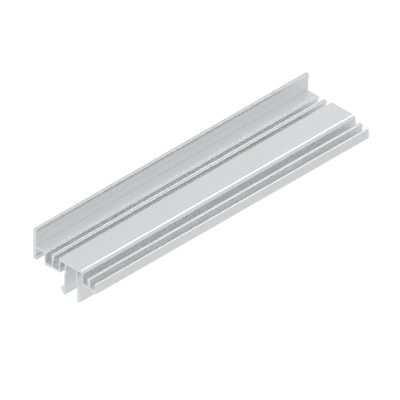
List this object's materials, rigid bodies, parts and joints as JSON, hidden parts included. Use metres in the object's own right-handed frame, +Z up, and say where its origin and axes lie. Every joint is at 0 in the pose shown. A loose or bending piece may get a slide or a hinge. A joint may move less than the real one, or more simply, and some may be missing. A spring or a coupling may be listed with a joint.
{
  "type": "aluminium extrusion profile",
  "caption": "Straight sawn bar of an open extruded window-frame section: tall cover flange, hooked gasket grooves, raised plate and barbed clip legs below.",
  "frame": {"origin": "centre of the bar's bounding box, on the floor it rests on", "axes": "+Y along the bar, +Z up as the loose bar lies, +X from the cover flange towards the outer lip"},
  "size_m": [0.0744, 0.3, 0.0392],
  "materials": {
    "aluminium": "mill-finish extruded aluminium, satin, with fine die lines along the bar and sawn ends"
  },
  "bodies": {
    "root": {"profile": "aluminium"}
  },
  "joints": []
}
